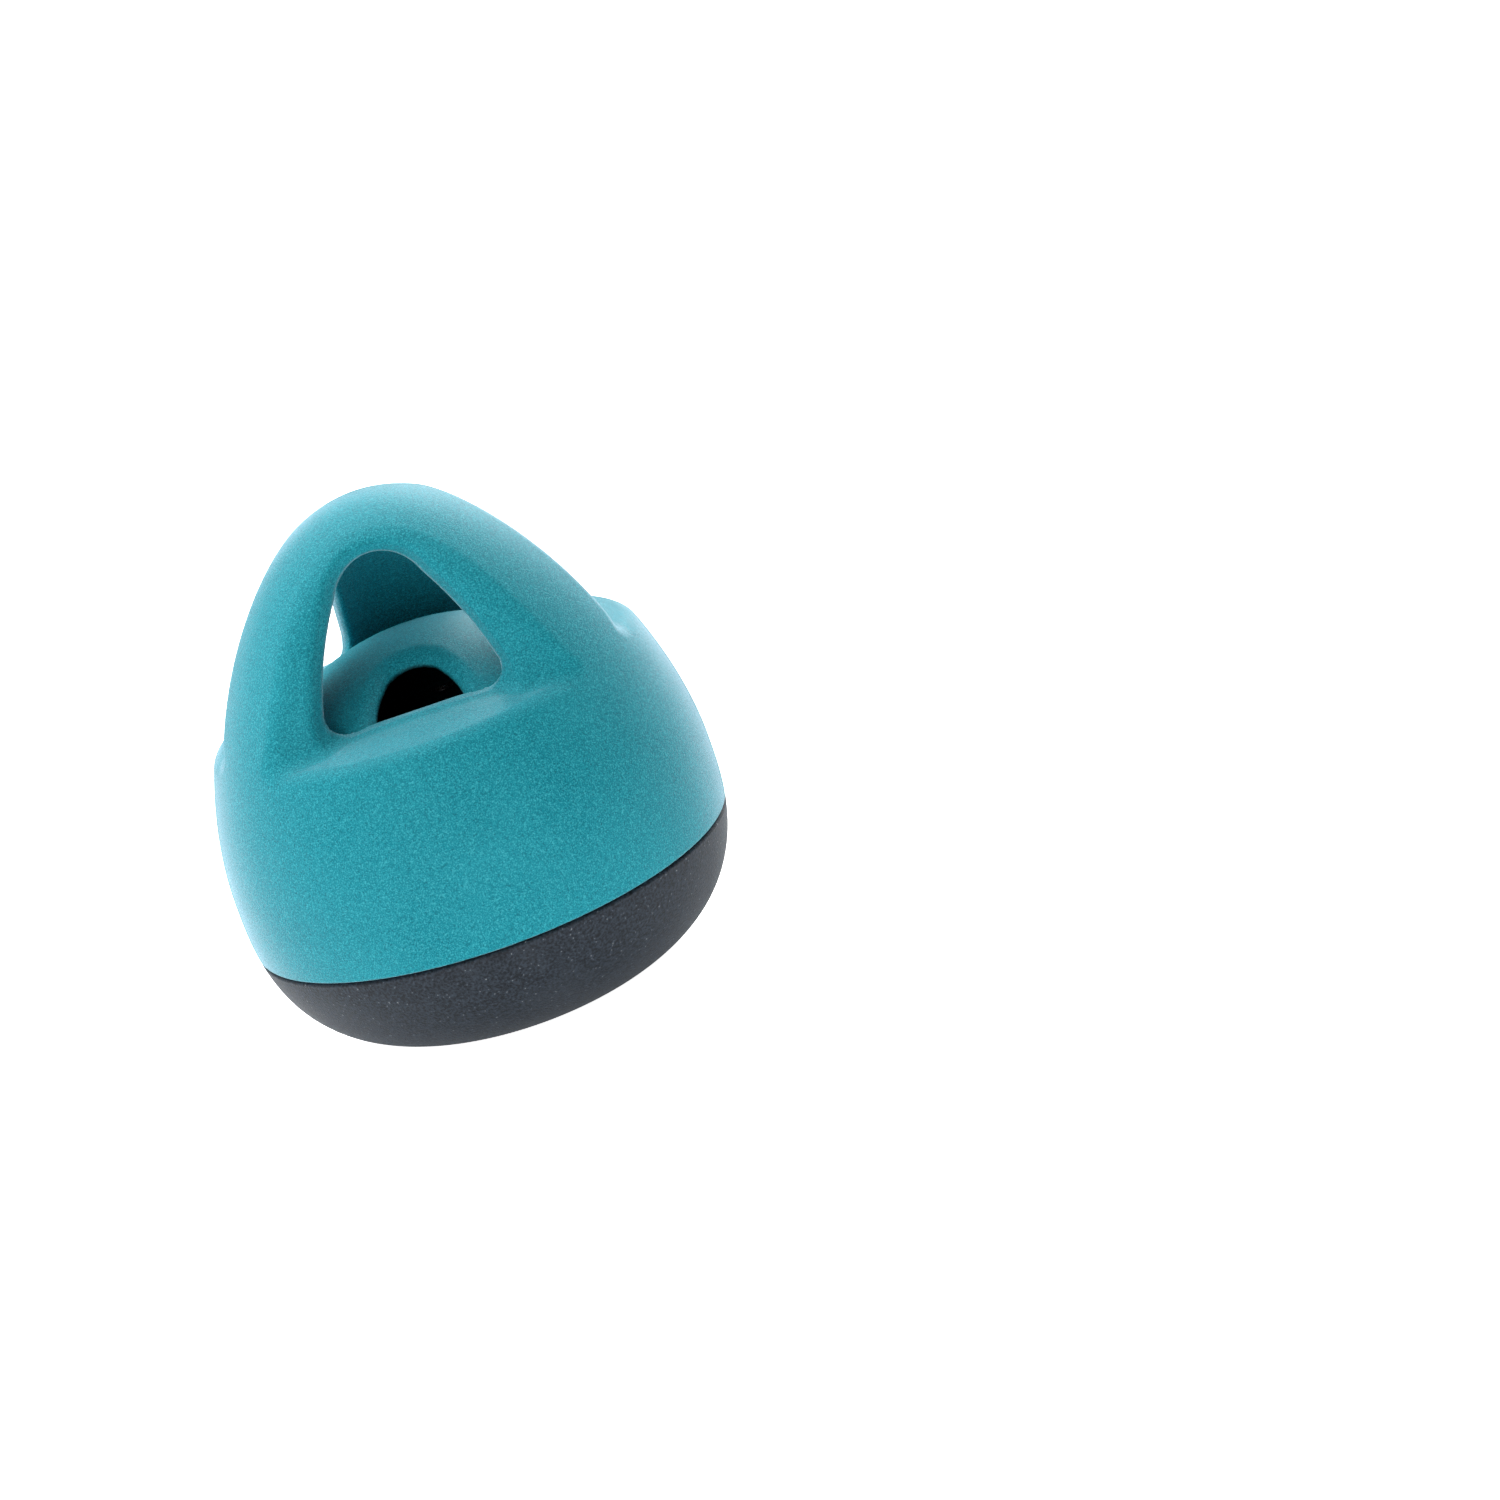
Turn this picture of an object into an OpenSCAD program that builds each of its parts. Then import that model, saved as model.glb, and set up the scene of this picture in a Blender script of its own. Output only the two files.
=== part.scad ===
// Bottom-weighted treat toy: a hollow shell with a three-legged handle over a
// pierced dome, closed by a rubber-covered, weighted base that twists off.
// Millimetres. Z up, origin at the centre of the foot the toy stands on.
// One window of the handle faces -Y.

/* [Body] */
// Largest diameter of the body
body_dia = 120; // [110:1:130]
// Height over the handle
body_height = 130.5; // [126:0.5:134]
// Height at which the body is widest
waist_z = 45.5; // [44:0.5:48]
// Radius of the flat foot under the base
foot_r = 12; // [10:1:16]
// Height of the seam between the base and the shell
seam_z = 31.5; // [30:0.5:33]
// Wall of the lower part of the shell
shell_wall = 3.6; // [3:0.1:4.5]

/* [Handle] */
// Height of each window's sill, where the ledges start to fall outwards
ledge_z = 84.5; // [83:0.5:86]
// Thickness of the handle's legs and crown
handle_wall = 5.5; // [4.5:0.5:7]
// Height of each window, from sill to crown
window_height = 35.5; // [30:0.5:36]
// Width of each window at its sill
window_width = 42.6; // [36:0.2:44]

/* [Dome] */
// Height of the top of the dome
dome_z = 95.2; // [94:0.2:96]
// Outside radius of the dome's curve
dome_curve_r = 58; // [56:1:62]
// Wall of the dome
dome_wall = 3; // [2.5:0.5:4]
// Width of the treat hole in the dome
hole_width = 21.8; // [16:0.2:23]

/* [Base] */
// Thickness of the rubber skin
skin_wall = 3; // [2.5:0.5:4]
// Wall of the rigid cup inside the skin
cup_wall = 2.5; // [2:0.5:3]
// Diameter of the iron weight
weight_dia = 62; // [54:1:64]
// Thickness of the iron weight
weight_height = 11; // [9:1:12]
// Turn that locks and unlocks the base, in degrees
lock_turn = 45; // [30:5:50]

/* [Hidden] */
$fn = 96;

body_r = body_dia / 2;

// how far each end of the side's two curves runs along its own tangent
foot_pull = 50;
waist_drop = 11;
waist_rise = 37;
crown_pull = 31;

side_az = [-90, 30, 150];       // where the windows face
leg_az = [-30, 90, 210];        // where the legs stand
gap = 0.3;                      // between the base and the twisting shell
far = 100;                      // beyond every surface

// facet: the flat side that a window is cut in, and its distance from the axis
facet_mid_z = 103;
facet_mid_r = 31.5;
facet_slope = 0.44;
facet_bulge = 0.006;
facet_root = 5;                 // how far the facets reach down below ledge_z, inside the ledges

// ledges: one cone round the axis, cut free by the facets
ledge_r = 33.6;                 // distance from the axis at which a ledge is ledge_z high
ledge_fall = 0.16;              // drop per unit outwards

// bayonet between the base collar and the bore of the shell
bore_r = 53;
bore_top_z = 44;
collar_r = bore_r - gap;
collar_wall = 2.7;
collar_top_z = 43;
lug_proud = 1.5;
lug_z = [37.6, 40.6];
lug_span = 18;                  // degrees
slot_slack = 3;                 // degrees, shared by both ends of a slot
slot_r = collar_r + lug_proud + gap;

// seat that carries the dome inside the shell
seat_z = 70;
seat_r = 47.6;
flange_h = 3;
flange_r = 52.5;
dome_screw_r = 50.2;

// seal ring in its groove on the collar
seal_z = 34.4;
seal_wire_r = 0.9;
seal_r = collar_r - seal_wire_r + 0.05;

// weight, its cover and the bosses that hold them
pad_h = 2;                      // thickening under the weight
floor_z = skin_wall + cup_wall + pad_h;
weight_top_z = floor_z + weight_height;
weight_chamfer = 2;
weight_bore_r = 5;
cover_h = 2.4;
cover_r = 46;
cover_rim = 2.2;
cover_rim_h = 3;
boss_at_r = 39;
boss_r = 4;

// screws, all the same size
screw_r = 1.5;
screw_head_r = 3;
screw_head_h = 1.8;
screw_bite = 7;                 // length of thread in the plastic
pilot_spare = 1;                // pilot hole beyond the screw's tip

// outlines of the openings: [width, height, top radius, corner radius, swell of the sides]
window = [window_width, window_height, 11.6, 4.7, 1.6];
hole = [hole_width, 16.6, 7.8, 2.4, 0.8];
window_drop = 0.2;              // a window starts this far below ledge_z, to clear the ledge
hole_foot_r = 32.4;             // distance of the hole's straight edge from the axis

// ---- outlines -------------------------------------------------------------

// point and inward normal of a cubic Bezier curve p at t
function bez(p, t) =
    pow(1 - t, 3) * p[0] + 3 * pow(1 - t, 2) * t * p[1]
    + 3 * (1 - t) * t * t * p[2] + pow(t, 3) * p[3];
function bez_dir(p, t) =
    pow(1 - t, 2) * (p[1] - p[0]) + 2 * (1 - t) * t * (p[2] - p[1])
    + t * t * (p[3] - p[2]);
function inward(v) = [-v[1], v[0]] / norm(v);

lower_curve = [[foot_r, 0], [foot_r + foot_pull, 0], [body_r, waist_z - waist_drop],
               [body_r, waist_z]];
upper_curve = [[body_r, waist_z], [body_r, waist_z + waist_rise], [crown_pull, body_height],
               [0, body_height]];

// half outline of the body, a wall's thickness d inside its surface
function body_side(d) = concat(
    [for (t = [0:1/14:1]) bez(lower_curve, t) + d * inward(bez_dir(lower_curve, t))],
    [for (t = [1/20:1/20:0.99]) bez(upper_curve, t) + d * inward(bez_dir(upper_curve, t))]);
function body_outline(d) = concat([[0, d]], body_side(d), [[0, body_height - d]]);

function facet_r(z) =
    facet_mid_r - facet_slope * (z - facet_mid_z) - facet_bulge * pow(z - facet_mid_z, 2);

function arc(c, r, from, to, n) =
    [for (i = [0:n]) c + r * [cos(from + (to - from) * i / n), sin(from + (to - from) * i / n)]];

// side from a to b that swells outward by bulge at its middle
function swell(a, b, bulge, n) =
    [for (i = [1:n - 1]) let (t = i / n)
        a + (b - a) * t + 4 * bulge * t * (1 - t) * [b[1] - a[1], a[0] - b[0]] / norm(b - a)];

// rounded triangle on a straight foot: s = [width, height, top r, corner r, bulge]
function arch_half(s) =
    let (top = [0, s[1] - s[2]], foot = [s[0] / 2 - s[3], s[3]], lean = 24,
         a = arc(top, s[2], 90, lean, 6), b = arc(foot, s[3], lean - 10, -90, 6))
    concat(a, swell(a[6], b[0], s[4] * 0.6, 5), b);
function mirror_half(h) = concat(h, [for (i = [len(h) - 1:-1:1]) [-h[i][0], h[i][1]]]);
function arch(s) = mirror_half(arch_half(s));

// ---- shared solids ----------------------------------------------------------

module revolve(points) { rotate_extrude($fn = 120) polygon(points); }

module ring(r0, r1, z0, z1) {
    rotate_extrude() polygon([[r0, z0], [r1, z0], [r1, z1], [r0, z1]]);
}

module arc_block(r0, r1, z0, z1, from, span) {
    rotate([0, 0, from])
        rotate_extrude(angle = span) polygon([[r0, z0], [r1, z0], [r1, z1], [r0, z1]]);
}

// everything inside one facet, from floor upwards; d moves the facet inward
module inside_facet(d, floor) {
    steps = 9;
    top = body_height + 2;
    pts = [for (i = [0:steps]) let (z = floor + (top - floor) * i / steps) [facet_r(z) - d, z]];
    rotate([90, 0, 0])
        linear_extrude(height = 2 * far, center = true)
            polygon(concat([[-far, floor]], pts, [[-far, top]]));
}

// the three facets together, from floor upwards
module facets(d, floor) {
    intersection() {
        rotate([0, 0, side_az[0]]) inside_facet(d, floor);
        rotate([0, 0, side_az[1]]) inside_facet(d, floor);
        rotate([0, 0, side_az[2]]) inside_facet(d, floor);
    }
}

module below_ledges() {
    revolve([[0, 0], [far, 0], [far, ledge_z - ledge_fall * (far - ledge_r)], [ledge_r, ledge_z],
             [0, ledge_z]]);
}

function dome_drop(r, curve) = curve - sqrt(curve * curve - r * r);
// points down to up along a spherical cap, from radius r1 to the axis
function dome_curve(top, curve, r1) =
    [for (i = [12:-1:0]) let (r = r1 * i / 12) [r, top - dome_drop(r, curve)]];

// the dome as a full solid, with its seating flange
module dome_envelope() {
    revolve(concat([[0, seat_z - flange_h], [flange_r, seat_z - flange_h], [flange_r, seat_z],
                    [seat_r, seat_z]], dome_curve(dome_z, dome_curve_r, seat_r)));
}

module windows() {
    for (a = side_az)
        rotate([0, 0, a])
            translate([8, 0, ledge_z - window_drop])
                rotate([90, 0, 90])
                    linear_extrude(height = far) polygon(arch(window));
}

module screw(length) {
    cylinder(r = screw_r, h = length, $fn = 32);
    translate([0, 0, -screw_head_h]) cylinder(r = screw_head_r, h = screw_head_h, $fn = 32);
}

// ---- upper body: shell, dome and the dome's screws -------------------------------

module bayonet_slots() {
    // entry cut open at the seam, then the level run that the lug turns into
    span = lug_span + slot_slack;
    for (a = leg_az) {
        arc_block(bore_r - 1, slot_r, seam_z - 1, lug_z[1] + gap, a - lock_turn - span / 2, span);
        arc_block(bore_r - 1, slot_r, lug_z[0] - gap, lug_z[1] + gap,
                  a - lock_turn - span / 2, lock_turn + span);
    }
}

module shell_hollow() {
    // bore for the collar, then the chamber up to the dome's seat
    ring(0, bore_r, 0, bore_top_z);
    intersection() {
        revolve(body_outline(shell_wall));
        ring(0, far, bore_top_z - 0.01, seat_z);
    }
    dome_envelope();
    // space inside the handle
    intersection() {
        revolve(body_outline(handle_wall));
        facets(handle_wall, dome_z - dome_drop(seat_r, dome_curve_r));
    }
}

module upper_shell() {
    color("darkcyan")
    difference() {
        intersection() {
            revolve(body_outline(0));
            union() {
                facets(0, ledge_z - facet_root);
                below_ledges();
            }
            ring(0, far, seam_z + gap, far * 2);
        }
        shell_hollow();
        windows();
        bayonet_slots();
        for (a = leg_az)
            rotate([0, 0, a])
                translate([dome_screw_r, 0, seat_z - 1])
                    cylinder(r = screw_r, h = 1 + screw_bite + pilot_spare, $fn = 32);
    }
}

module treat_dome() {
    color("cadetblue")
    difference() {
        dome_envelope();
        revolve(concat([[0, seat_z - flange_h - 1], [seat_r - dome_wall, seat_z - flange_h - 1]],
                       dome_curve(dome_z - dome_wall, dome_curve_r - dome_wall, seat_r - dome_wall)));
        // one treat hole, behind the front window
        rotate([0, 0, side_az[0]])
            translate([hole_foot_r, 0, 0])
                rotate([0, 0, 90])
                    linear_extrude(height = far) polygon(arch(hole));
        for (a = leg_az)
            rotate([0, 0, a])
                translate([dome_screw_r, 0, seat_z - flange_h - 1])
                    cylinder(r = screw_r, h = flange_h + 2, $fn = 32);
    }
}

module dome_screws() {
    color("silver")
    for (a = leg_az)
        rotate([0, 0, a])
            translate([dome_screw_r, 0, seat_z - flange_h]) screw(flange_h + screw_bite);
}

// ---- base: skin, cup, weight and its cover ------------------------------------------

module base_skin() {
    color("darkslategray")
    difference() {
        intersection() {
            revolve(body_outline(0));
            ring(0, far, -1, seam_z);
        }
        intersection() {
            revolve(body_outline(skin_wall));
            ring(0, far, 0, far);
        }
    }
}

module base_cup() {
    color("dimgray")
    difference() {
        union() {
            difference() {
                intersection() {
                    revolve(body_outline(skin_wall));
                    ring(0, far, 0, seam_z);
                }
                intersection() {
                    revolve(body_outline(skin_wall + cup_wall));
                    ring(0, collar_r - collar_wall, floor_z, far);
                }
            }
            ring(collar_r - collar_wall, collar_r, seam_z - 1, collar_top_z);
            for (a = leg_az)
                arc_block(collar_r - 1, collar_r + lug_proud, lug_z[0], lug_z[1],
                          a - lug_span / 2, lug_span);
            intersection() {
                revolve(body_outline(skin_wall));
                for (a = leg_az)
                    rotate([0, 0, a])
                        translate([boss_at_r, 0, skin_wall])
                            cylinder(r = boss_r, h = weight_top_z - skin_wall, $fn = 48);
            }
        }
        // groove for the seal ring
        rotate_extrude() translate([seal_r, seal_z]) circle(r = seal_wire_r, $fn = 32);
        for (a = leg_az)
            rotate([0, 0, a])
                translate([boss_at_r, 0, weight_top_z - screw_bite - pilot_spare])
                    cylinder(r = screw_r, h = screw_bite + pilot_spare + 1, $fn = 32);
    }
}

module weight() {
    color("gray")
    difference() {
        union() {
            translate([0, 0, floor_z]) cylinder(r = weight_dia / 2 - weight_chamfer, h = weight_height);
            translate([0, 0, floor_z + weight_chamfer])
                cylinder(r = weight_dia / 2, h = weight_height - weight_chamfer);
        }
        translate([0, 0, floor_z - 1]) cylinder(r = weight_bore_r, h = weight_height + 2);
    }
}

module weight_cover() {
    color("lightslategray")
    difference() {
        union() {
            translate([0, 0, weight_top_z]) cylinder(r = cover_r, h = cover_h);
            ring(cover_r - cover_rim, cover_r, weight_top_z, weight_top_z + cover_h + cover_rim_h);
        }
        for (a = leg_az)
            rotate([0, 0, a])
                translate([boss_at_r, 0, weight_top_z - 1])
                    cylinder(r = screw_r, h = cover_h + 2, $fn = 32);
    }
}

module weight_screws() {
    color("silver")
    for (a = leg_az)
        rotate([0, 0, a])
            translate([boss_at_r, 0, weight_top_z + cover_h])
                mirror([0, 0, 1]) screw(cover_h + screw_bite);
}

module seal_ring() {
    color("black")
    rotate_extrude() translate([seal_r, seal_z]) circle(r = seal_wire_r, $fn = 32);
}

upper_shell();
treat_dome();
dome_screws();
base_cup();
base_skin();
weight();
weight_cover();
weight_screws();
seal_ring();
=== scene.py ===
"""A bottom-weighted treat toy: a teal shell with a three-legged handle, a pierced dome, a rubber base."""
import math

import bpy
import numpy as np
from mathutils import Matrix, Vector


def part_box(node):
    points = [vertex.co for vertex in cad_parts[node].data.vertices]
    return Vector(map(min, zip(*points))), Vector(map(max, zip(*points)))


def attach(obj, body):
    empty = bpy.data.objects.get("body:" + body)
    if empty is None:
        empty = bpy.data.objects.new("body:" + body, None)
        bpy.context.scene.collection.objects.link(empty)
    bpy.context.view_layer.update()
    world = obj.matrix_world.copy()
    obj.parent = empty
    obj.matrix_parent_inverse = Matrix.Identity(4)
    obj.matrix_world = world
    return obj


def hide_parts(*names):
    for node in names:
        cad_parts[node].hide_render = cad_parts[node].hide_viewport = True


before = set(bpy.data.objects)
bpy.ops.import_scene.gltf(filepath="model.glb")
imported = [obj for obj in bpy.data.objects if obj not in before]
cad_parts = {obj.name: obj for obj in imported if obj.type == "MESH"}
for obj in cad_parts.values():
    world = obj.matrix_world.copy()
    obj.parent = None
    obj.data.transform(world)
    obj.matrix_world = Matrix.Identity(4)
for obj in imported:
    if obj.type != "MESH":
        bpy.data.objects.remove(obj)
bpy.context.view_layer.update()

MM = 0.001
TAU = 2 * math.pi

# ---- driving sizes, in millimetres ---------------------------------------------------
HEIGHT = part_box("upper_shell")[1][2] / MM
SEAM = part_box("base_skin")[1][2] / MM
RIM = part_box("upper_shell")[0][2] / MM          # lower edge of the shell
DOME_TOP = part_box("treat_dome")[1][2] / MM
BODY_R = 60.0
WAIST = 45.5                                    # height at which the body is widest
FOOT_R = 12.0
FOOT_PULL = 50                                  # how far each end of the side's two curves
WAIST_DROP = 11                                 # runs along its own tangent
WAIST_RISE = 37
CROWN_PULL = 31
SHELL_WALL = 3.6
HANDLE_WALL = 5.5
LEDGE = 84.5                                    # height of a window's sill, at LEDGE_R from the axis
LEDGE_R = 33.6                                  # inside this radius it doesn't fall
LEDGE_FALL = 0.16                               # how much a ledge drops per unit outwards
SEAT = 70.0                                     # height of the dome's seat inside the shell
BORE_R = 53.0
BORE_TOP = 44.0
DOME_CURVE = 58.0                               # outside radius of the dome's curve
DOME_RIM_R = 47.6
DOME_WALL = 3.6
DOME_GAP = 0.25                                 # between the dome and the shell round it
TUCK = 1.3                                      # sills and legs end this far past that gap, in the dome
FLANGE_R = 52.5
FLANGE_H = 3.0
HANDLE_SPACE = 72.0                             # lowest level of the space inside the handle
SKIN_WALL = 3.0
SKIN_EDGE = 0.7                                 # rounding of the skin's upper edge
SILL_STEP = 0.4                                 # a window's foot stands this far above its ledge
WINDOW_FROM = 8.0                               # distance from the axis at which the windows start
WINDOW = dict(width=42.6, height=35.1, top_r=11.6, foot_r=4.7, bulge=1.6)
HOLE = dict(width=21.8, height=16.6, top_r=7.8, foot_r=2.4, bulge=0.8)
HOLE_FOOT = 31.8                                # a hole's straight edge, from the axis
FACET_R = 31.5                                  # a flat's distance from the axis at FACET_Z
FACET_Z = 103.0
FACET_SLOPE = 0.44                              # how much a flat leans in at FACET_Z
FACET_BULGE = 0.006                             # and how it curves in from there
FACET_CURVE = 300.0                             # radius of a flat's slight swell across
SHOULDER_R = 2.4                                # rounding of the ledges' outer edge
CREASE_R = 1.4                                  # rounding between a flat and the turned form
WINDOW_LIP = dict(deep=4.0, wide=3.5)           # sloping band round a window
HOLE_LIP = dict(deep=2.3, wide=2.8)             # and round a treat hole


# ---- the camera ------------------------------------------------------------------------
def make_camera():
    """Nearly level with the toy and rolled, so that the toy leans to the left in the picture."""
    azimuth, elevation, roll = math.radians(5.1), math.radians(16.84), math.radians(-20.17)
    distance, lens = 1.300, 130.2
    right_of_toy, above_toy = 0.0665, 0.0167
    target = Vector((0, 0, WAIST * MM))
    back = Vector((math.sin(azimuth) * math.cos(elevation), -math.cos(azimuth) * math.cos(elevation),
                   math.sin(elevation)))
    level = Vector((math.cos(azimuth), math.sin(azimuth), 0))
    upright = back.cross(level)
    right = math.cos(roll) * level + math.sin(roll) * upright
    up = -math.sin(roll) * level + math.cos(roll) * upright
    place = target + back * distance
    look = target + right * right_of_toy + up * above_toy
    z = (place - look).normalized()
    x = (right - z * right.dot(z)).normalized()
    data = bpy.data.cameras.new("camera")
    data.lens, data.sensor_width = lens, 36
    data.clip_start, data.clip_end = 0.05, 50
    camera = bpy.data.objects.new("camera", data)
    bpy.context.collection.objects.link(camera)
    camera.matrix_world = Matrix.Translation(place) @ Matrix((x, z.cross(x), z)).transposed().to_4x4()
    bpy.context.scene.camera = camera


# ---- shapes as distance fields, in millimetres ----------------------------------------
def bezier(p, n):
    """n points of the cubic curve p."""
    t = np.linspace(0, 1, n)[:, None]
    p = np.array(p, float)
    return (1 - t) ** 3 * p[0] + 3 * (1 - t) ** 2 * t * p[1] + 3 * (1 - t) * t * t * p[2] + t ** 3 * p[3]


LOWER = [(FOOT_R, 0), (FOOT_R + FOOT_PULL, 0), (BODY_R, WAIST - WAIST_DROP), (BODY_R, WAIST)]
UPPER = [(BODY_R, WAIST), (BODY_R, WAIST + WAIST_RISE), (CROWN_PULL, HEIGHT), (0, HEIGHT)]
CENTRE = 55.0                                   # the body is star-shaped about this height
SIDE = np.vstack([bezier(UPPER, 400)[::-1], bezier(LOWER, 400)[::-1][1:],
                  [(r, 0) for r in np.linspace(FOOT_R, 0, 30)[1:]]])
SIDE_ANGLE = np.arctan2(SIDE[:, 0], SIDE[:, 1] - CENTRE)
SIDE_REACH = np.hypot(SIDE[:, 0], SIDE[:, 1] - CENTRE)
SIDE_STEEP = 1 / np.sqrt(1 + (np.gradient(SIDE_REACH, SIDE_ANGLE) / SIDE_REACH) ** 2)


def body_distance(p):
    """Distance from the turned outer form; it is negative inside."""
    r, z = np.hypot(p[:, 0], p[:, 1]), p[:, 2] - CENTRE
    angle = np.arctan2(r, z)
    reach = np.interp(angle, SIDE_ANGLE, SIDE_REACH)
    return (np.hypot(r, z) - reach) * np.interp(angle, SIDE_ANGLE, SIDE_STEEP)


def both(a, b, r):
    """Intersection of two fields, with its edge rounded to radius r."""
    return np.minimum(np.maximum(a, b), -r) + np.hypot(np.maximum(a + r, 0), np.maximum(b + r, 0))


def either(a, b, r):
    """Union of two fields, with its hollow corner filled to radius r."""
    return -both(-a, -b, r)


def ease(x, low, high):
    """Runs smoothly from 0 at low to 1 at high."""
    t = np.clip((x - low) / (high - low), 0, 1)
    return t * t * (3 - 2 * t)


def fold(p):
    """Distance outwards and sideways from the middle of the nearest of the three sides."""
    angle = np.arctan2(p[:, 1], p[:, 0]) + TAU / 4
    angle -= np.round(angle / (TAU / 3)) * (TAU / 3)
    r = np.hypot(p[:, 0], p[:, 1])
    return r * np.cos(angle), r * np.sin(angle)


def arc(cx, cy, r, start, end, n):
    """n points of an arc round (cx, cy), its angles in degrees."""
    a = np.radians(np.linspace(start, end, n))
    return np.column_stack([cx + r * np.cos(a), cy + r * np.sin(a)])


def arch(width, height, top_r, foot_r, bulge):
    """A rounded triangle that stands on a straight foot, its base at 0."""
    lean, fuller = 24, 0.6
    top = arc(0, height - top_r, top_r, 90, lean, 14)
    foot = arc(width / 2 - foot_r, foot_r, foot_r, lean - 10, -90, 12)
    t = np.linspace(0, 1, 14)[1:-1, None]
    run = foot[0] - top[-1]
    out = np.array([-run[1], run[0]]) / np.hypot(*run)
    side = top[-1] + run * t + out * 4 * bulge * fuller * t * (1 - t)
    half = np.vstack([top, side, foot])
    return np.vstack([half, half[:0:-1] * [-1, 1]])


def outline_distance(x, y, points):
    """Distance from a closed outline; it is negative inside."""
    best = np.full(x.shape, 1e9)
    inside = np.zeros(x.shape, bool)
    for a, b in zip(points, np.roll(points, -1, 0)):
        run = b - a
        t = np.clip(((x - a[0]) * run[0] + (y - a[1]) * run[1]) / (run @ run), 0, 1)
        best = np.minimum(best, (x - a[0] - run[0] * t) ** 2 + (y - a[1] - run[1] * t) ** 2)
        crosses = (a[1] > y) != (b[1] > y)
        if a[1] != b[1]:
            inside ^= crosses & (x < a[0] + (y - a[1]) * run[0] / run[1])
    return np.where(inside, -1, 1) * np.sqrt(best)


def facet_distance(out, across, z):
    """Distance from the nearly flat side that a window is cut in."""
    h = z - FACET_Z
    slope = FACET_SLOPE + 2 * FACET_BULGE * h
    side = FACET_R - FACET_SLOPE * h - FACET_BULGE * h * h - across * across / (2 * FACET_CURVE)
    return (out - side) / np.sqrt(1 + slope * slope)


def lip_distance(rise, from_outline, deep, wide):
    """Distance from a funnel that opens wide over a depth, rise being the height above its narrow end."""
    return (from_outline * deep - rise * wide) / math.hypot(deep, wide)


def dome_ball(p, grow=0.0):
    """Distance from the ball that the dome is a cap of."""
    centre = DOME_TOP - DOME_CURVE
    return np.sqrt(p[:, 0] ** 2 + p[:, 1] ** 2 + (p[:, 2] - centre) ** 2) - DOME_CURVE - grow


def inside_chamber(p):
    """Mask for painted shade: 1 on walls of the treat chamber, 0 outside."""
    depth = np.where(p[:, 2] < SEAT, -body_distance(p) - SHELL_WALL / 2, -dome_ball(p) - HOLE_LIP["deep"])
    return np.where(p[:, 2] < SEAT + 22, ease(depth, 0, 0.8), 0)


WINDOW_OUTLINE = arch(**WINDOW)
HOLE_OUTLINE = arch(**HOLE)


def shell_field(p):
    """The shell: turned body, three flats with ledges, hollow, windows."""
    z = p[:, 2]
    r = np.hypot(p[:, 0], p[:, 1])
    out, across = fold(p)
    facet = facet_distance(out, across, z)
    turned = body_distance(p)
    ledge = z - LEDGE + LEDGE_FALL * np.maximum(r - LEDGE_R, 0)
    edge = SHOULDER_R + (CREASE_R - SHOULDER_R) * ease(ledge, 1, 6)
    solid = both(turned, either(facet, ledge, 3.0), edge)
    # hollow: bore, chamber, the dome's place and the space inside the handle
    chamber = np.maximum(turned + SHELL_WALL, z - SEAT)
    bore = np.maximum(r - BORE_R, z - BORE_TOP)
    gap = DOME_GAP - TUCK * ease(z, SEAT + 9, SEAT + 12)
    dome_place = np.maximum(dome_ball(p, gap), r - DOME_RIM_R)
    inner = both(turned + HANDLE_WALL, facet + HANDLE_WALL, 3.0)
    handle = np.maximum(inner, HANDLE_SPACE - z)
    hollow = np.minimum(np.minimum(chamber, bore), np.minimum(dome_place, handle))
    # windows, each with a sloping lip that runs out in the ledge
    far_off = 50.0
    near = (z > LEDGE - 8.5) & (z < HEIGHT - 0.5) & (out > WINDOW_FROM - 4) & (turned > -30)
    window = np.full(z.shape, far_off)
    window[near] = outline_distance(across[near], ledge[near] - SILL_STEP, WINDOW_OUTLINE)
    window = np.maximum(window, WINDOW_FROM - out)
    lip = lip_distance(facet + WINDOW_LIP["deep"], window, **WINDOW_LIP)
    lip = both(np.maximum(lip, WINDOW_FROM - out), -ledge, 2.0)
    above = ease(ledge, 0, 3)
    cut = both(solid, -lip, 0.02 + 1.0 * above)
    cut = both(cut, -window, 0.02 + 1.0 * above)
    cut = both(cut, -hollow, 0.2 + 0.9 * above)
    return both(cut, RIM - z, 0.7)


def dome_field(p):
    """The dome: a ball's cap with one funnel-shaped hole, to the front, and a seating flange."""
    z = p[:, 2]
    r = np.hypot(p[:, 0], p[:, 1])
    ball = dome_ball(p)
    cap = both(np.maximum(ball, r - DOME_RIM_R), -(ball + DOME_WALL), 0.8)
    hole = outline_distance(p[:, 0], HOLE_FOOT + p[:, 1], HOLE_OUTLINE)
    cap = both(cap, -lip_distance(ball + HOLE_LIP["deep"], hole, **HOLE_LIP), 1.0)
    cap = both(cap, -hole, 0.5)
    middle = SEAT - FLANGE_H / 2
    flange = np.maximum(np.maximum(r - FLANGE_R, DOME_RIM_R - 3 - r), np.abs(z - middle) - FLANGE_H / 2)
    return np.maximum(np.minimum(cap, flange), SEAT - FLANGE_H - z)


# ---- turning a field into a mesh -------------------------------------------------------
def slope(field, p, h=0.02):
    """Gradient of a field at each point, from steps of h."""
    g = np.empty_like(p)
    for k in range(3):
        step = np.zeros(3)
        step[k] = h
        g[:, k] = (field(p + step) - field(p - step)) / (2 * h)
    return g


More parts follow.
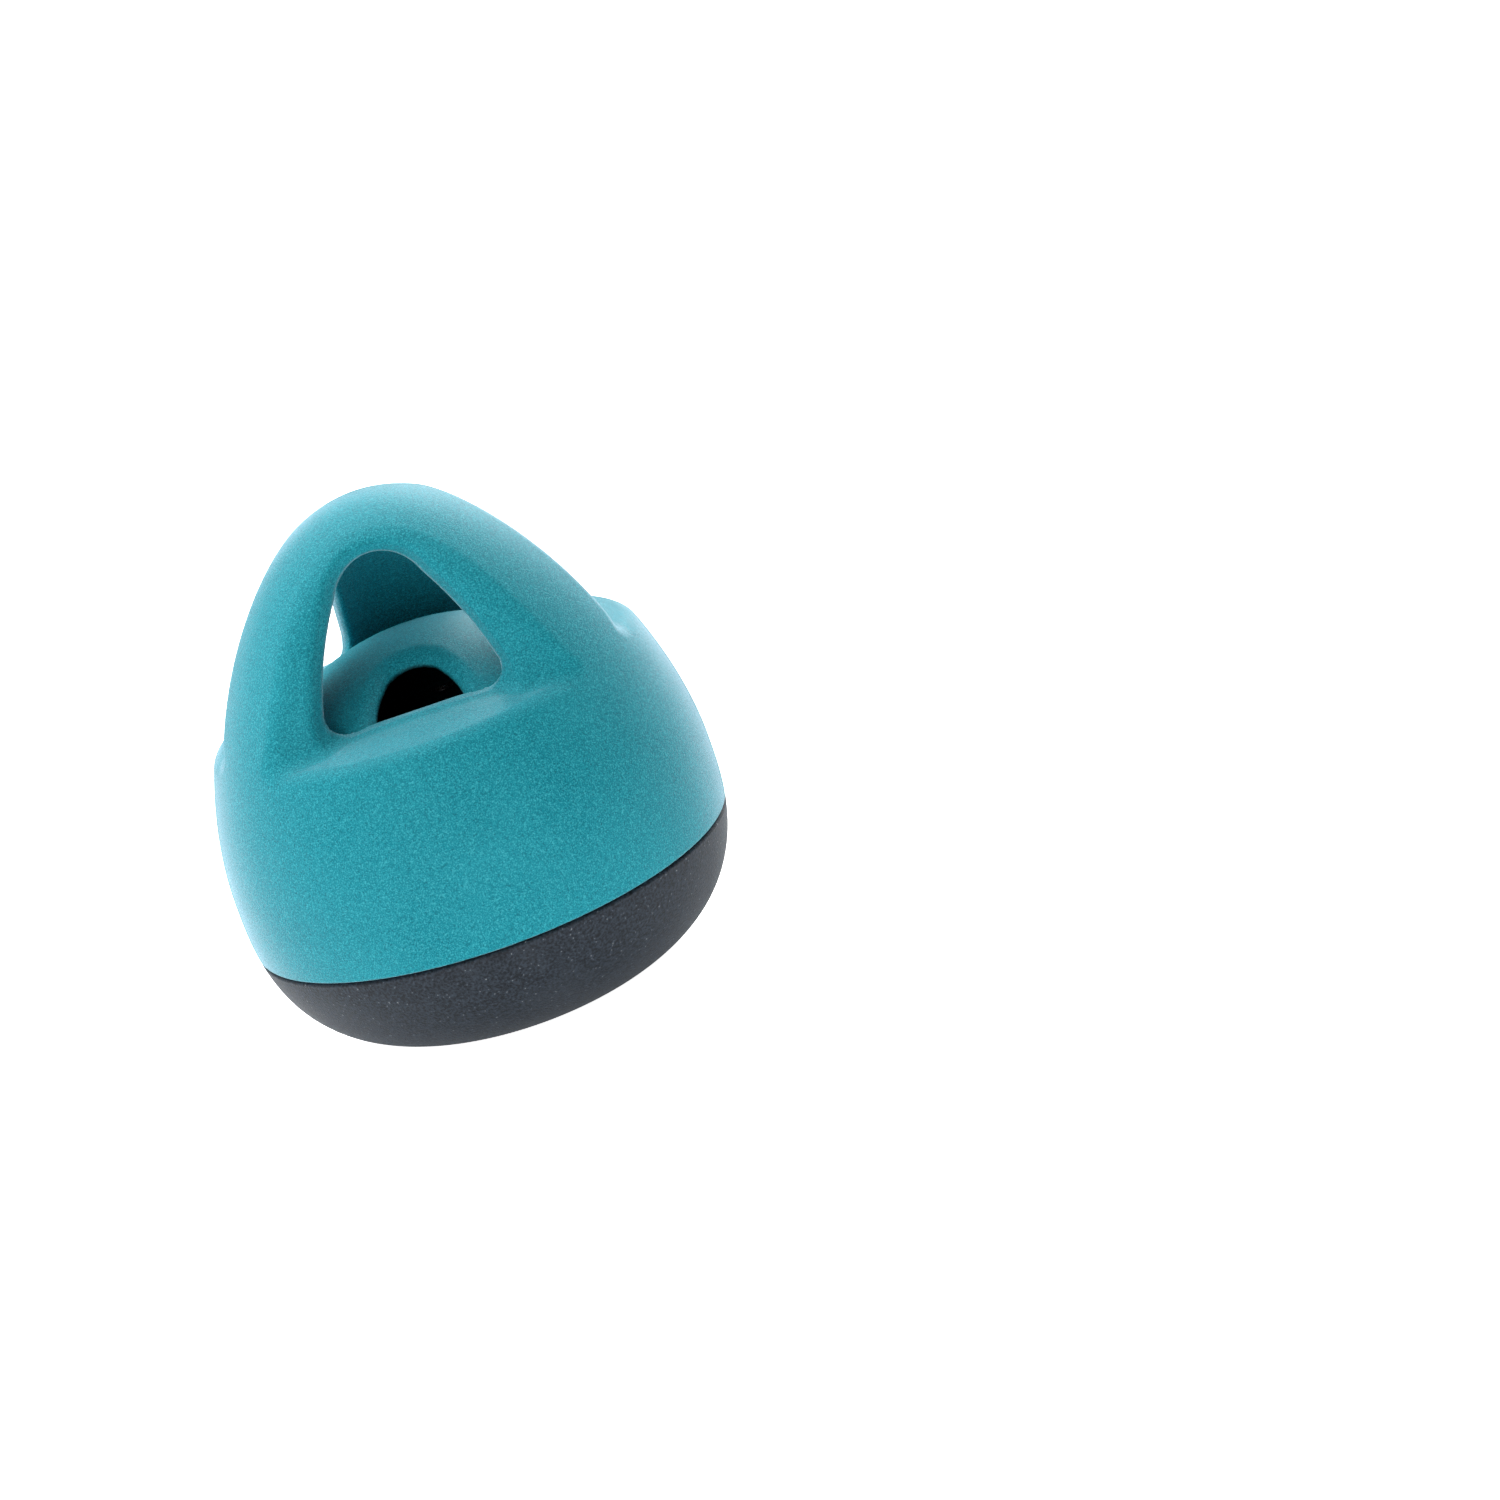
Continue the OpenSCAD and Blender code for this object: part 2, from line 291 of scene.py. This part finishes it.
def settle(field, p, rounds, reach):
    """Moves points onto the surface, each by at most reach in a round."""
    for _ in range(rounds):
        g = slope(field, p)
        move = field(p)[:, None] * g / np.maximum((g * g).sum(1), 0.25)[:, None]
        length = np.linalg.norm(move, axis=1)[:, None]
        p = p - move * np.minimum(1, reach / np.maximum(length, 1e-9))
    return p


def surface_net(field, axes):
    """Quads round the surface where field is zero: a point per crossed cell, a face per crossed edge."""
    size = [len(a) for a in axes]
    grid = np.stack(np.meshgrid(*axes, indexing="ij"), -1)
    value = field(grid.reshape(-1, 3)).reshape(size)
    cells = [n - 1 for n in size]
    total = np.zeros(cells + [3])
    count = np.zeros(cells)
    crossings = []
    for k in range(3):
        low = [slice(None)] * 3
        high = [slice(None)] * 3
        low[k], high[k] = slice(0, -1), slice(1, None)
        low, high = tuple(low), tuple(high)
        a, b = value[low], value[high]
        crossed = (a < 0) != (b < 0)
        t = np.where(crossed, a / np.where(crossed, a - b, 1), 0)
        place = (grid[low] + (grid[high] - grid[low]) * t[..., None]) * crossed[..., None]
        others = [i for i in range(3) if i != k]
        for d0 in (0, 1):
            for d1 in (0, 1):
                part = [slice(None)] * 3
                part[others[0]] = slice(d0, size[others[0]] - 1 + d0)
                part[others[1]] = slice(d1, size[others[1]] - 1 + d1)
                total += place[tuple(part)]
                count += crossed[tuple(part)]
        crossings.append((k, others, crossed, a < 0))
    used = count > 0
    number = np.full(cells, -1)
    number[used] = np.arange(used.sum())
    points = total[used] / count[used][:, None]
    faces = []
    for k, (o0, o1), crossed, starts_inside in crossings:
        at = np.argwhere(crossed)
        keep = (at[:, o0] > 0) & (at[:, o1] > 0) & (at[:, o0] < size[o0] - 1) & (at[:, o1] < size[o1] - 1)
        at = at[keep]
        inside = starts_inside[tuple(at.T)]
        corners = []
        for d0, d1 in ((-1, -1), (0, -1), (0, 0), (-1, 0)):
            cell = at.copy()
            cell[:, o0] += d0
            cell[:, o1] += d1
            corners.append(number[tuple(cell.T)])
        quad = np.stack(corners, 1)
        turn = inside if k != 1 else ~inside
        quad[~turn] = quad[~turn][:, ::-1]
        faces.append(quad)
    return points, np.vstack(faces)


def relax(points, faces, share=0.5):
    """Moves each point towards the middle of its neighbours."""
    total = np.zeros_like(points)
    count = np.zeros(len(points))
    for a, b in ((0, 1), (1, 2), (2, 3), (3, 0)):
        for i, j in ((a, b), (b, a)):
            for k in range(3):
                total[:, k] += np.bincount(faces[:, i], points[faces[:, j], k], len(points))
            count += np.bincount(faces[:, i], minlength=len(points))
    return points + share * (total / count[:, None] - points)


def mesh_object(name, points, faces):
    mesh = bpy.data.meshes.new(name)
    mesh.from_pydata((points * MM).tolist(), [], faces.tolist() if hasattr(faces, "tolist") else faces)
    mesh.shade_smooth()
    mesh.update()
    piece = bpy.data.objects.new(name, mesh)
    bpy.context.collection.objects.link(piece)
    return piece


def thin_out(piece, share):
    """Collapses flat stretches, so that the points left follow the curves and edges."""
    piece.modifiers.new("thin", "DECIMATE").ratio = share
    graph = bpy.context.evaluated_depsgraph_get()
    mesh = bpy.data.meshes.new_from_object(piece.evaluated_get(graph))
    piece.modifiers.clear()
    old, piece.data = piece.data, mesh
    bpy.data.meshes.remove(old)


def corner_normals(mesh, normals):
    """A normal for each corner of each face; at a sharp edge it leans back to the face's own."""
    corner = np.empty(len(mesh.loops), int)
    mesh.loops.foreach_get("vertex_index", corner)
    sides = np.empty(len(mesh.polygons), int)
    mesh.polygons.foreach_get("loop_total", sides)
    flat = np.empty(len(mesh.polygons) * 3)
    mesh.polygons.foreach_get("normal", flat)
    face = np.repeat(flat.reshape(-1, 3), sides, axis=0)
    own = normals[corner]
    lean = 1.5 * ease(-(own * face).sum(1), -0.85, -0.5)[:, None]
    own = own + lean * face
    return own / np.maximum(np.linalg.norm(own, axis=1), 1e-6)[:, None]


def field_object(name, field, axes, voxel, share):
    """Meshes a field and takes the shading normals from the field itself."""
    points, faces = surface_net(field, axes)
    for _ in range(3):
        points = settle(field, relax(points, faces), 1, voxel / 2)
    points = settle(field, points, 3, voxel / 2)
    piece = mesh_object(name, points, faces)
    thin_out(piece, share)
    mesh = piece.data
    flat = np.empty(len(mesh.vertices) * 3)
    mesh.vertices.foreach_get("co", flat)
    points = settle(field, flat.reshape(-1, 3) / MM, 2, voxel / 4)
    mesh.vertices.foreach_set("co", (points * MM).ravel())
    normals = slope(field, points, 0.12)
    normals /= np.maximum(np.linalg.norm(normals, axis=1), 1e-6)[:, None]
    mesh.shade_smooth()
    mesh.normals_split_custom_set(corner_normals(mesh, normals).tolist())
    # mask of the treat chamber's walls, where shade is painted into the colour
    chamber_shade = mesh.attributes.new("chamber_shade", "FLOAT", "POINT")
    chamber_shade.data.foreach_set("value", inside_chamber(points).astype(np.float32))
    return piece


def even(low, high, step):
    return np.linspace(low, high, int(round((high - low) / step)) + 1)


def make_shell():
    voxel = 0.75
    side = even(-BODY_R - 1.5, BODY_R + 1.5, voxel)
    rim = np.arange(RIM - 0.8, RIM + 2.4, 0.4)
    up = even(rim[-1] + 0.6, HEIGHT + 1.5, voxel)
    piece = field_object("shell", shell_field, (side, side, np.concatenate([rim, up])), voxel, 0.45)
    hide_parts("upper_shell")
    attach(piece, "top")
    return piece


def make_dome():
    voxel = 0.7
    side = even(-FLANGE_R - 1.1, FLANGE_R + 1.1, voxel)
    piece = field_object("dome", dome_field, (side, side, even(SEAT - 4, DOME_TOP + 1, voxel)), voxel, 0.5)
    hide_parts("treat_dome")
    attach(piece, "top")
    return piece


def lathe(name, profile, segments):
    """Turns a closed outline of (radius, height) points round the axis, which holds its two end points."""
    ring = np.linspace(0, TAU, segments, endpoint=False)
    inner = profile[1:-1]
    points = [(0, 0, profile[0][1])]
    for r, z in inner:
        points += [(r * math.cos(a), r * math.sin(a), z) for a in ring]
    points.append((0, 0, profile[-1][1]))
    last = len(points) - 1
    faces = [(0, 1 + (i + 1) % segments, 1 + i) for i in range(segments)]
    for k in range(len(inner) - 1):
        a, b = 1 + k * segments, 1 + (k + 1) * segments
        faces += [(a + i, a + (i + 1) % segments, b + (i + 1) % segments, b + i) for i in range(segments)]
    a = 1 + (len(inner) - 1) * segments
    faces += [(last, a + i, a + (i + 1) % segments) for i in range(segments)]
    return mesh_object(name, np.array(points), faces)


def make_skin():
    """The rubber skin: the turned side up to the seam, and its inner face a wall's thickness inside."""
    outer = bezier(LOWER, 160)
    outer = outer[outer[:, 1] < SEAM - SKIN_EDGE]
    top_r = np.interp(SEAM, *bezier(LOWER, 400)[:, ::-1].T)
    corner = arc(top_r - SKIN_EDGE - 0.1, SEAM - SKIN_EDGE, SKIN_EDGE, 0, 90, 8)
    run = np.gradient(outer, axis=0)
    normal = np.column_stack([-run[:, 1], run[:, 0]]) / np.linalg.norm(run, axis=1)[:, None]
    inner = outer + normal * SKIN_WALL
    inner_top = [(inner[-1, 0], SEAM)]
    foot = [(0, 0), (FOOT_R / 3, 0), (FOOT_R / 1.5, 0)]
    inner_foot = [(FOOT_R / 2, SKIN_WALL), (0, SKIN_WALL)]
    profile = np.vstack([foot, outer, corner, inner_top, inner[::-1], inner_foot])
    piece = lathe("rubber_skin", profile, 256)
    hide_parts("base_skin")
    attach(piece, "base")
    return piece


# ---- materials ---------------------------------------------------------------------------
class Nodes:
    """A small helper round one material's node tree."""

    def __init__(self, name):
        self.material = bpy.data.materials.new(name)
        self.material.use_nodes = True
        self.tree = self.material.node_tree
        self.shader = self.tree.nodes["Principled BSDF"]
        self.coords = self.add("ShaderNodeTexCoord").outputs["Object"]

    def add(self, kind, **values):
        node = self.tree.nodes.new(kind)
        for key, value in values.items():
            setattr(node, key, value)
        return node

    def link(self, a, b):
        self.tree.links.new(a, b)

    def noise(self, scale, detail=2.0, rough=0.5):
        node = self.add("ShaderNodeTexNoise")
        node.inputs["Scale"].default_value = scale
        node.inputs["Detail"].default_value = detail
        node.inputs["Roughness"].default_value = rough
        self.link(self.coords, node.inputs["Vector"])
        return node.outputs["Fac"]

    def ramp(self, factor, *stops):
        node = self.add("ShaderNodeValToRGB")
        elements = node.color_ramp.elements
        for _ in range(len(stops) - 2):
            elements.new(0.5)
        for element, (place, colour) in zip(elements, stops):
            element.position = place
            element.color = (*colour, 1)
        self.link(factor, node.inputs["Fac"])
        return node.outputs["Color"]

    def span(self, factor, low, high, to_low, to_high):
        node = self.add("ShaderNodeMapRange")
        for key, value in (("From Min", low), ("From Max", high), ("To Min", to_low), ("To Max", to_high)):
            node.inputs[key].default_value = value
        self.link(factor, node.inputs["Value"])
        return node.outputs["Result"]

    def times(self, a, b):
        node = self.add("ShaderNodeMath", operation="MULTIPLY")
        self.link(a, node.inputs[0])
        self.link(b, node.inputs[1])
        return node.outputs[0]

    def mix(self, factor, a, b):
        node = self.add("ShaderNodeMix", data_type="RGBA")
        for socket, value in ((node.inputs[0], factor), (node.inputs[6], a), (node.inputs[7], b)):
            if isinstance(value, (int, float)):
                socket.default_value = value
            elif isinstance(value, tuple):
                socket.default_value = (*value, 1)
            else:
                self.link(value, socket)
        return node.outputs[2]

    def bump(self, height, distance, strength=1.0, normal=None):
        node = self.add("ShaderNodeBump")
        node.inputs["Strength"].default_value = strength
        node.inputs["Distance"].default_value = distance
        self.link(height, node.inputs["Height"])
        if normal is not None:
            self.link(normal, node.inputs["Normal"])
        return node.outputs["Normal"]

    def set(self, **values):
        for key, value in values.items():
            socket = self.shader.inputs[key.replace("_", " ")]
            if hasattr(value, "is_linked"):
                self.link(value, socket)
            else:
                socket.default_value = value


def grained_plastic(name, dark, middle, light, sheen):
    """Moulded plastic with a fine spark-eroded grain: every pit and peak takes its own shade; painted
    shade makes the walls of the treat chamber almost black.
    """
    n = Nodes(name)
    fine = n.noise(3000, 2, 0.65)
    coarse = n.noise(1300, 3, 0.6)
    cloud = n.noise(28, 3, 0.55)
    speckle = n.ramp(fine, (0.34, dark), (0.5, middle), (0.68, light))
    mottled = n.mix(0.14, speckle, n.ramp(coarse, (0.34, dark), (0.5, middle), (0.68, light)))
    clouded = n.mix(n.span(cloud, 0.35, 0.72, 0.0, 0.14), mottled, light)
    # painted shade: the walls of the treat chamber are coloured almost black and lose their sheen
    chamber_shade = n.add("ShaderNodeAttribute", attribute_name="chamber_shade").outputs["Fac"]
    colour = n.mix(n.span(chamber_shade, 0, 1, 0.0, 0.93), clouded, (0.0, 0.004, 0.005))
    grain = n.bump(fine, 0.0002, 0.6)
    grain = n.bump(coarse, 0.0002, 0.3, grain)
    n.set(Base_Color=colour, Roughness=n.span(coarse, 0.3, 0.7, 0.52, 0.66), Normal=grain)
    n.shader.inputs["Specular IOR Level"].default_value = 0.12
    facing = n.add("ShaderNodeLayerWeight").outputs["Facing"]
    n.set(Sheen_Weight=n.times(n.span(facing, 0.88, 1.0, sheen, 0.0), n.span(chamber_shade, 0, 1, 1.0, 0.0)))
    n.shader.inputs["Sheen Roughness"].default_value = 0.33
    n.shader.inputs["Sheen Tint"].default_value = (0.72, 0.87, 1.0, 1)
    return n.material


def rubber(name):
    """Dark slate rubber: worm-like leather grain, sparse dust specks and faint pale scuffs."""
    n = Nodes(name)
    creases = n.noise(1500, 3, 0.6)
    fine = n.noise(2600, 2, 0.6)
    dust = n.noise(1500, 1, 0.4)
    patch = n.noise(55, 3, 0.6)
    scuff = n.noise(320, 5, 0.75)
    base = n.ramp(creases, (0.38, (0.004, 0.007, 0.011)), (0.62, (0.031, 0.042, 0.058)))
    worn = n.mix(n.span(patch, 0.5, 0.72, 0.0, 0.3), base, (0.045, 0.055, 0.068))
    scuffed = n.mix(n.span(scuff, 0.64, 0.78, 0.0, 0.4), worn, (0.11, 0.125, 0.14))
    colour = n.mix(n.span(dust, 0.73, 0.78, 0.0, 0.6), scuffed, (0.3, 0.32, 0.33))
    leather = n.bump(creases, 0.0004, 0.6)
    leather = n.bump(fine, 0.00012, 0.4, leather)
    n.set(Base_Color=colour, Roughness=n.span(creases, 0.3, 0.7, 0.5, 0.68), Normal=leather)
    n.shader.inputs["Specular IOR Level"].default_value = 0.22
    n.shader.inputs["Sheen Weight"].default_value = 0.06
    n.shader.inputs["Sheen Roughness"].default_value = 0.4
    n.shader.inputs["Sheen Tint"].default_value = (0.75, 0.88, 1.0, 1)
    return n.material


def hard_finish(name, dark, light, scale, metallic, rough):
    """A plain finish for the pieces inside: mottled, with a fine bump."""
    n = Nodes(name)
    grain = n.noise(scale, 3, 0.6)
    n.set(Base_Color=n.ramp(grain, (0.3, dark), (0.7, light)), Normal=n.bump(grain, 0.0001, 0.3),
          Roughness=n.span(grain, 0.3, 0.7, rough - 0.08, rough + 0.08))
    n.shader.inputs["Metallic"].default_value = metallic
    return n.material


def dress(obj, material):
    """Puts one material on every slot of an object."""
    slots = obj.material_slots
    if not slots:
        obj.data.materials.append(material)
    for s in slots:
        s.material = material


# ---- light, floor and background -----------------------------------------------------------
def area_light(name, place, target, size, power):
    data = bpy.data.lights.new(name, "AREA")
    data.shape, data.size, data.size_y = "RECTANGLE", size[0], size[1]
    data.energy = power
    light = bpy.data.objects.new(name, data)
    bpy.context.collection.objects.link(light)
    light.location = place
    light.rotation_euler = (Vector(target) - Vector(place)).to_track_quat("-Z", "Y").to_euler()


def make_studio():
    """Soft lights all round, and a floor and background that the camera sees as plain white."""
    middle = (0, 0, 0.06)
    area_light("top_softbox", (-0.3, 0.2, 1.0), middle, (0.8, 0.8), 13)
    area_light("back_softbox", (0.45, 1.1, 0.7), middle, (1.0, 0.6), 20)
    area_light("left_softbox", (-1.0, 0.15, 0.35), middle, (0.4, 0.7), 2.3)
    area_light("right_softbox", (0.75, 0.9, 0.8), middle, (0.4, 0.8), 5)
    area_light("front_fill", (-0.35, -1.2, 0.35), middle, (0.8, 0.6), 4.7)
    world = bpy.data.worlds.new("studio")
    bpy.context.scene.world = world
    world.use_nodes = True
    tree = world.node_tree
    light = tree.nodes["Background"]
    light.inputs["Color"].default_value = (0.93, 0.97, 1.0, 1)
    light.inputs["Strength"].default_value = 0.2
    seen = tree.nodes.new("ShaderNodeBackground")
    seen.inputs["Color"].default_value = (1, 1, 1, 1)
    path = tree.nodes.new("ShaderNodeLightPath")
    pick = tree.nodes.new("ShaderNodeMixShader")
    tree.links.new(path.outputs["Is Camera Ray"], pick.inputs["Fac"])
    tree.links.new(light.outputs["Background"], pick.inputs[1])
    tree.links.new(seen.outputs["Background"], pick.inputs[2])
    tree.links.new(pick.outputs["Shader"], tree.nodes["World Output"].inputs["Surface"])
    half_floor = 30
    corners = np.array([(-1, -1, 0), (1, -1, 0), (1, 1, 0), (-1, 1, 0)]) * half_floor
    floor = mesh_object("floor", corners / MM, [(0, 1, 2, 3)])
    n = Nodes("floor_paint")
    n.set(Base_Color=n.ramp(n.noise(6, 2), (0.3, (0.9, 0.9, 0.9)), (0.7, (0.93, 0.93, 0.93))))
    n.shader.inputs["Roughness"].default_value = 0.9
    n.shader.inputs["Emission Color"].default_value = (1, 1, 1, 1)
    camera_sees = n.add("ShaderNodeLightPath").outputs["Is Camera Ray"]
    n.set(Emission_Strength=n.span(camera_sees, 0, 1, 0.4, 1.0))
    dress(floor, n.material)


make_camera()
shell = make_shell()
dome = make_dome()
skin = make_skin()

SHADES = (0.001, 0.115, 0.155), (0.001, 0.232, 0.29), (0.05, 0.44, 0.525)
dress(shell, grained_plastic("shell_teal", *SHADES, 0.9))
dress(dome, grained_plastic("dome_teal", *SHADES, 0.18))
dress(skin, rubber("base_rubber"))
charcoal = hard_finish("charcoal_plastic", (0.005, 0.006, 0.008), (0.011, 0.013, 0.016), 1500, 0, 0.6)
iron = hard_finish("cast_iron", (0.04, 0.04, 0.043), (0.09, 0.09, 0.095), 800, 0.7, 0.6)
zinc = hard_finish("zinc_plate", (0.5, 0.5, 0.52), (0.68, 0.68, 0.7), 1200, 1, 0.3)
# painted shade: the weight screws are coloured almost black, so they show no glint inside the dark treat
# chamber
weight_screw_shade = hard_finish("weight_screws_painted_shade", (0.01, 0.01, 0.012), (0.02, 0.02, 0.023), 1200, 0.3, 0.6)
black = hard_finish("black_rubber", (0.008, 0.008, 0.009), (0.016, 0.016, 0.018), 1500, 0, 0.7)
FINISHES = {"base_cup": charcoal, "weight_cover": charcoal, "weight": iron, "dome_screws": zinc,
            "weight_screws": weight_screw_shade, "seal_ring": black}
for node_name, material in FINISHES.items():
    dress(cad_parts[node_name], material)

make_studio()
bpy.context.scene.view_settings.view_transform = "Standard"
